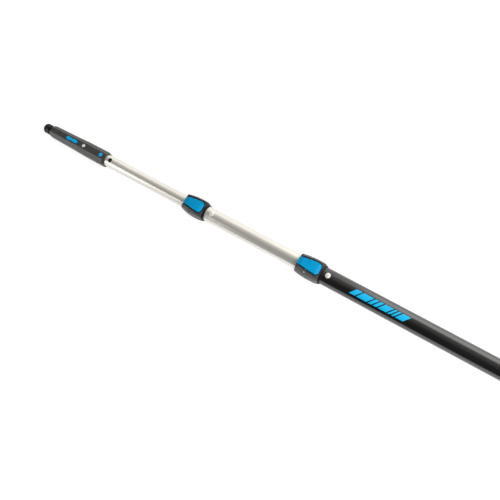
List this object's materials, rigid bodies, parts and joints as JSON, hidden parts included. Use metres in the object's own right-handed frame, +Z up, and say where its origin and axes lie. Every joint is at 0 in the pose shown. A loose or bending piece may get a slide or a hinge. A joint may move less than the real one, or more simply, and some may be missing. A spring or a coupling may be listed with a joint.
{
  "type": "telescopic window cleaning pole",
  "caption": "Telescopic aluminium pole for window cleaning, with flip-lever clamps and a locking cone with a threaded tip for tools.",
  "frame": {"origin": "centre of the bounding box's base, on the surface that the pole lies on, midway between butt and tip", "axes": "+X along the pole to its threaded tip, +Z up through the levers, +Y to the left seen from the butt"},
  "size_m": [1.8112, 0.0366, 0.0408],
  "materials": {
    "black_anodised": "gloss black anodised aluminium, faint drawing lines",
    "silver_anodised": "satin silver anodised aluminium, faint drawing lines",
    "clamp_plastic": "charcoal glass-filled nylon, fine moulded grain",
    "cone_plastic": "charcoal nylon, satin with fine grain",
    "black_plastic": "black acetal, satin",
    "blue_plastic": "cyan blue moulded plastic, semi-gloss",
    "steel": "zinc plated and stainless steel",
    "cap_rubber": "black moulded rubber"
  },
  "bodies": {
    "outer_section": {"outer_tube": "black_anodised", "butt_cap": "cap_rubber", "lower_clamp_body": "clamp_plastic", "lower_collet": "black_plastic", "lower_rear_ring": "black_plastic", "lower_lever_pin": "steel", "lower_clamp_screw": "steel", "lower_rivet": "steel", "lower_guide_sleeve": "black_plastic"},
    "middle_section": {"middle_tube": "silver_anodised", "middle_guide_bush": "black_plastic", "upper_clamp_body": "clamp_plastic", "upper_collet": "black_plastic", "upper_rear_ring": "black_plastic", "upper_lever_pin": "steel", "upper_clamp_screw": "steel", "upper_rivet": "steel", "upper_guide_sleeve": "black_plastic"},
    "inner_section": {"inner_tube": "silver_anodised", "inner_guide_bush": "black_plastic", "cone_body": "cone_plastic", "cone_core": "black_plastic", "threaded_tip": "black_plastic", "lock_pin_spring": "steel", "snap_button_spring": "steel"},
    "lower_lever": {"lower_lever": "blue_plastic"},
    "upper_lever": {"upper_lever": "blue_plastic"},
    "lock_pin": {"lock_pin": "steel"},
    "lock_slide": {"lock_slide": "blue_plastic"},
    "snap_button": {"snap_button": "blue_plastic"}
  },
  "joints": [
    {"name": "middle_extension", "type": "slide", "parent": "outer_section", "child": "middle_section", "axis": [1, 0, 0], "range_m": [-0.165, 0.88]},
    {"name": "inner_extension", "type": "slide", "parent": "middle_section", "child": "inner_section", "axis": [1, 0, 0], "range_m": [-0.165, 0.84]},
    {"name": "lower_lever_flip", "type": "hinge", "parent": "outer_section", "child": "lower_lever", "pos_m": [0.3377, 0, 0.0355], "axis": [0, 1, 0], "range_deg": [0, 100]},
    {"name": "upper_lever_flip", "type": "hinge", "parent": "middle_section", "child": "upper_lever", "pos_m": [0.565, 0, 0.0335], "axis": [0, 1, 0], "range_deg": [0, 100]},
    {"name": "lock_pin_press", "type": "slide", "parent": "inner_section", "child": "lock_pin", "axis": [0, 0, 1], "range_m": [-0.0026, 0], "stiffness_N_per_m": 600, "springref_m": 0.0015, "deforming": ["lock_pin_spring"]},
    {"name": "snap_button_press", "type": "slide", "parent": "inner_section", "child": "snap_button", "axis": [0, 0, 1], "range_m": [-0.002, 0], "stiffness_N_per_m": 600, "springref_m": 0.0015, "deforming": ["snap_button_spring"]},
    {"name": "lock_slide_travel", "type": "slide", "parent": "inner_section", "child": "lock_slide", "axis": [1, 0, 0], "range_m": [-0.0025, 0]}
  ]
}
